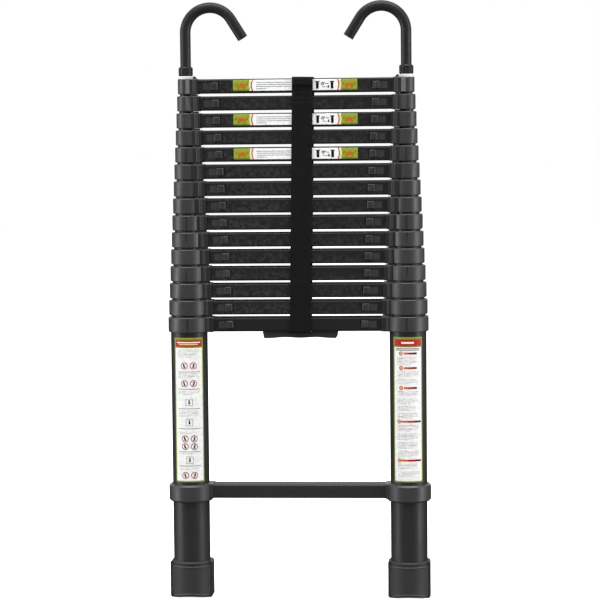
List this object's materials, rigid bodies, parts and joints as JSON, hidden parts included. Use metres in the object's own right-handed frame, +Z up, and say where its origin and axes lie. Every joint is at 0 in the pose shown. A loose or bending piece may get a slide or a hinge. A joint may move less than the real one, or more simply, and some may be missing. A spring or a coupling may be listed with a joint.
{
  "type": "telescoping ladder",
  "caption": "Closed telescoping ladder: nested round tubes in moulded collars, flat treads with thumb latches, swivelling roof hooks, rubber feet, carry grip and closing strap.",
  "frame": {"origin": "on the floor midway between the feet, on the ladder middle plane", "axes": "+X along the rungs towards the right stile seen from the front, front faces -Y, +Z up"},
  "size_m": [0.4716, 0.0796, 1.065],
  "materials": {
    "tube": "satin black anodised",
    "rung": "satin black anodised, ribbed",
    "section": "satin black anodised tube and rung with moulded collars",
    "collar": "moulded, semi-matte black",
    "foot_rubber": "matte black",
    "latch": "moulded, dark grey",
    "hook": "satin black anodised",
    "nut": "knurled, black",
    "webbing": "woven black webbing",
    "grip": "matte dark grey"
  },
  "bodies": {
    "base": {"foot_left": "foot_rubber", "foot_right": "foot_rubber", "base_tube_left": "tube", "base_tube_right": "tube", "bottom_rung": "rung", "bottom_collar_left": "collar", "bottom_collar_right": "collar", "rung_01": "rung", "collars_01": "collar", "carry_handle": "grip", "strap": "webbing"},
    "section_02": {"section_02": "section"},
    "section_03": {"section_03": "section"},
    "section_04": {"section_04": "section"},
    "section_05": {"section_05": "section"},
    "section_06": {"section_06": "section"},
    "section_07": {"section_07": "section"},
    "section_08": {"section_08": "section"},
    "section_09": {"section_09": "section"},
    "section_10": {"section_10": "section"},
    "section_11": {"section_11": "section"},
    "section_12": {"section_12": "section"},
    "section_13": {"section_13": "section"},
    "section_14": {"section_14": "section"},
    "section_15": {"section_15": "section", "strap_top": "webbing"},
    "latch_left_01": {"latch_left_01": "latch"},
    "latch_left_02": {"latch_left_02": "latch"},
    "latch_left_03": {"latch_left_03": "latch"},
    "latch_left_04": {"latch_left_04": "latch"},
    "latch_left_05": {"latch_left_05": "latch"},
    "latch_left_06": {"latch_left_06": "latch"},
    "latch_left_07": {"latch_left_07": "latch"},
    "latch_left_08": {"latch_left_08": "latch"},
    "latch_left_09": {"latch_left_09": "latch"},
    "latch_left_10": {"latch_left_10": "latch"},
    "latch_left_11": {"latch_left_11": "latch"},
    "latch_left_12": {"latch_left_12": "latch"},
    "latch_left_13": {"latch_left_13": "latch"},
    "latch_left_14": {"latch_left_14": "latch"},
    "latch_left_15": {"latch_left_15": "latch"},
    "hook_left": {"hook_left": "hook"},
    "hook_nut_left": {"hook_nut_left": "nut"},
    "latch_right_01": {"latch_right_01": "latch"},
    "latch_right_02": {"latch_right_02": "latch"},
    "latch_right_03": {"latch_right_03": "latch"},
    "latch_right_04": {"latch_right_04": "latch"},
    "latch_right_05": {"latch_right_05": "latch"},
    "latch_right_06": {"latch_right_06": "latch"},
    "latch_right_07": {"latch_right_07": "latch"},
    "latch_right_08": {"latch_right_08": "latch"},
    "latch_right_09": {"latch_right_09": "latch"},
    "latch_right_10": {"latch_right_10": "latch"},
    "latch_right_11": {"latch_right_11": "latch"},
    "latch_right_12": {"latch_right_12": "latch"},
    "latch_right_13": {"latch_right_13": "latch"},
    "latch_right_14": {"latch_right_14": "latch"},
    "latch_right_15": {"latch_right_15": "latch"},
    "hook_right": {"hook_right": "hook"},
    "hook_nut_right": {"hook_nut_right": "nut"}
  },
  "joints": [
    {"name": "section_02_slide", "type": "slide", "parent": "base", "child": "section_02", "axis": [0, 0, 1], "range_m": [0, 0.26975], "deforming": ["strap"]},
    {"name": "section_03_slide", "type": "slide", "parent": "section_02", "child": "section_03", "axis": [0, 0, 1], "range_m": [0, 0.26975]},
    {"name": "section_04_slide", "type": "slide", "parent": "section_03", "child": "section_04", "axis": [0, 0, 1], "range_m": [0, 0.26975]},
    {"name": "section_05_slide", "type": "slide", "parent": "section_04", "child": "section_05", "axis": [0, 0, 1], "range_m": [0, 0.26975]},
    {"name": "section_06_slide", "type": "slide", "parent": "section_05", "child": "section_06", "axis": [0, 0, 1], "range_m": [0, 0.26975]},
    {"name": "section_07_slide", "type": "slide", "parent": "section_06", "child": "section_07", "axis": [0, 0, 1], "range_m": [0, 0.26975]},
    {"name": "section_08_slide", "type": "slide", "parent": "section_07", "child": "section_08", "axis": [0, 0, 1], "range_m": [0, 0.26975]},
    {"name": "section_09_slide", "type": "slide", "parent": "section_08", "child": "section_09", "axis": [0, 0, 1], "range_m": [0, 0.26975]},
    {"name": "section_10_slide", "type": "slide", "parent": "section_09", "child": "section_10", "axis": [0, 0, 1], "range_m": [0, 0.26975]},
    {"name": "section_11_slide", "type": "slide", "parent": "section_10", "child": "section_11", "axis": [0, 0, 1], "range_m": [0, 0.26975]},
    {"name": "section_12_slide", "type": "slide", "parent": "section_11", "child": "section_12", "axis": [0, 0, 1], "range_m": [0, 0.26975]},
    {"name": "section_13_slide", "type": "slide", "parent": "section_12", "child": "section_13", "axis": [0, 0, 1], "range_m": [0, 0.26975]},
    {"name": "section_14_slide", "type": "slide", "parent": "section_13", "child": "section_14", "axis": [0, 0, 1], "range_m": [0, 0.26975]},
    {"name": "section_15_slide", "type": "slide", "parent": "section_14", "child": "section_15", "axis": [0, 0, 1], "range_m": [0, 0.26975]},
    {"name": "hook_left_swivel", "type": "hinge", "parent": "section_15", "child": "hook_left", "pos_m": [-0.196, 0, 0.9545], "axis": [0, 0, 1], "continuous": true},
    {"name": "hook_right_swivel", "type": "hinge", "parent": "section_15", "child": "hook_right", "pos_m": [0.196, 0, 0.9545], "axis": [0, 0, 1], "continuous": true},
    {"name": "hook_nut_left_turn", "type": "hinge", "parent": "section_15", "child": "hook_nut_left", "pos_m": [-0.196, 0, 0.9445], "axis": [0, 0, 1], "continuous": true},
    {"name": "hook_nut_right_turn", "type": "hinge", "parent": "section_15", "child": "hook_nut_right", "pos_m": [0.196, 0, 0.9445], "axis": [0, 0, 1], "continuous": true},
    {"name": "latch_left_01_slide", "type": "slide", "parent": "base", "child": "latch_left_01", "axis": [1, 0, 0], "range_m": [0, 0.008], "stiffness_N_per_m": 300, "springref_m": -0.012},
    {"name": "latch_left_02_slide", "type": "slide", "parent": "section_02", "child": "latch_left_02", "axis": [1, 0, 0], "range_m": [0, 0.008], "stiffness_N_per_m": 300, "springref_m": -0.012},
    {"name": "latch_left_03_slide", "type": "slide", "parent": "section_03", "child": "latch_left_03", "axis": [1, 0, 0], "range_m": [0, 0.008], "stiffness_N_per_m": 300, "springref_m": -0.012},
    {"name": "latch_left_04_slide", "type": "slide", "parent": "section_04", "child": "latch_left_04", "axis": [1, 0, 0], "range_m": [0, 0.008], "stiffness_N_per_m": 300, "springref_m": -0.012},
    {"name": "latch_left_05_slide", "type": "slide", "parent": "section_05", "child": "latch_left_05", "axis": [1, 0, 0], "range_m": [0, 0.008], "stiffness_N_per_m": 300, "springref_m": -0.012},
    {"name": "latch_left_06_slide", "type": "slide", "parent": "section_06", "child": "latch_left_06", "axis": [1, 0, 0], "range_m": [0, 0.008], "stiffness_N_per_m": 300, "springref_m": -0.012},
    {"name": "latch_left_07_slide", "type": "slide", "parent": "section_07", "child": "latch_left_07", "axis": [1, 0, 0], "range_m": [0, 0.008], "stiffness_N_per_m": 300, "springref_m": -0.012},
    {"name": "latch_left_08_slide", "type": "slide", "parent": "section_08", "child": "latch_left_08", "axis": [1, 0, 0], "range_m": [0, 0.008], "stiffness_N_per_m": 300, "springref_m": -0.012},
    {"name": "latch_left_09_slide", "type": "slide", "parent": "section_09", "child": "latch_left_09", "axis": [1, 0, 0], "range_m": [0, 0.008], "stiffness_N_per_m": 300, "springref_m": -0.012},
    {"name": "latch_left_10_slide", "type": "slide", "parent": "section_10", "child": "latch_left_10", "axis": [1, 0, 0], "range_m": [0, 0.008], "stiffness_N_per_m": 300, "springref_m": -0.012},
    {"name": "latch_left_11_slide", "type": "slide", "parent": "section_11", "child": "latch_left_11", "axis": [1, 0, 0], "range_m": [0, 0.008], "stiffness_N_per_m": 300, "springref_m": -0.012},
    {"name": "latch_left_12_slide", "type": "slide", "parent": "section_12", "child": "latch_left_12", "axis": [1, 0, 0], "range_m": [0, 0.008], "stiffness_N_per_m": 300, "springref_m": -0.012},
    {"name": "latch_left_13_slide", "type": "slide", "parent": "section_13", "child": "latch_left_13", "axis": [1, 0, 0], "range_m": [0, 0.008], "stiffness_N_per_m": 300, "springref_m": -0.012},
    {"name": "latch_left_14_slide", "type": "slide", "parent": "section_14", "child": "latch_left_14", "axis": [1, 0, 0], "range_m": [0, 0.008], "stiffness_N_per_m": 300, "springref_m": -0.012},
    {"name": "latch_left_15_slide", "type": "slide", "parent": "section_15", "child": "latch_left_15", "axis": [1, 0, 0], "range_m": [0, 0.008], "stiffness_N_per_m": 300, "springref_m": -0.012},
    {"name": "latch_right_01_slide", "type": "slide", "parent": "base", "child": "latch_right_01", "axis": [-1, 0, 0], "range_m": [0, 0.008], "stiffness_N_per_m": 300, "springref_m": -0.012},
    {"name": "latch_right_02_slide", "type": "slide", "parent": "section_02", "child": "latch_right_02", "axis": [-1, 0, 0], "range_m": [0, 0.008], "stiffness_N_per_m": 300, "springref_m": -0.012},
    {"name": "latch_right_03_slide", "type": "slide", "parent": "section_03", "child": "latch_right_03", "axis": [-1, 0, 0], "range_m": [0, 0.008], "stiffness_N_per_m": 300, "springref_m": -0.012},
    {"name": "latch_right_04_slide", "type": "slide", "parent": "section_04", "child": "latch_right_04", "axis": [-1, 0, 0], "range_m": [0, 0.008], "stiffness_N_per_m": 300, "springref_m": -0.012},
    {"name": "latch_right_05_slide", "type": "slide", "parent": "section_05", "child": "latch_right_05", "axis": [-1, 0, 0], "range_m": [0, 0.008], "stiffness_N_per_m": 300, "springref_m": -0.012},
    {"name": "latch_right_06_slide", "type": "slide", "parent": "section_06", "child": "latch_right_06", "axis": [-1, 0, 0], "range_m": [0, 0.008], "stiffness_N_per_m": 300, "springref_m": -0.012},
    {"name": "latch_right_07_slide", "type": "slide", "parent": "section_07", "child": "latch_right_07", "axis": [-1, 0, 0], "range_m": [0, 0.008], "stiffness_N_per_m": 300, "springref_m": -0.012},
    {"name": "latch_right_08_slide", "type": "slide", "parent": "section_08", "child": "latch_right_08", "axis": [-1, 0, 0], "range_m": [0, 0.008], "stiffness_N_per_m": 300, "springref_m": -0.012},
    {"name": "latch_right_09_slide", "type": "slide", "parent": "section_09", "child": "latch_right_09", "axis": [-1, 0, 0], "range_m": [0, 0.008], "stiffness_N_per_m": 300, "springref_m": -0.012},
    {"name": "latch_right_10_slide", "type": "slide", "parent": "section_10", "child": "latch_right_10", "axis": [-1, 0, 0], "range_m": [0, 0.008], "stiffness_N_per_m": 300, "springref_m": -0.012},
    {"name": "latch_right_11_slide", "type": "slide", "parent": "section_11", "child": "latch_right_11", "axis": [-1, 0, 0], "range_m": [0, 0.008], "stiffness_N_per_m": 300, "springref_m": -0.012},
    {"name": "latch_right_12_slide", "type": "slide", "parent": "section_12", "child": "latch_right_12", "axis": [-1, 0, 0], "range_m": [0, 0.008], "stiffness_N_per_m": 300, "springref_m": -0.012},
    {"name": "latch_right_13_slide", "type": "slide", "parent": "section_13", "child": "latch_right_13", "axis": [-1, 0, 0], "range_m": [0, 0.008], "stiffness_N_per_m": 300, "springref_m": -0.012},
    {"name": "latch_right_14_slide", "type": "slide", "parent": "section_14", "child": "latch_right_14", "axis": [-1, 0, 0], "range_m": [0, 0.008], "stiffness_N_per_m": 300, "springref_m": -0.012},
    {"name": "latch_right_15_slide", "type": "slide", "parent": "section_15", "child": "latch_right_15", "axis": [-1, 0, 0], "range_m": [0, 0.008], "stiffness_N_per_m": 300, "springref_m": -0.012}
  ]
}
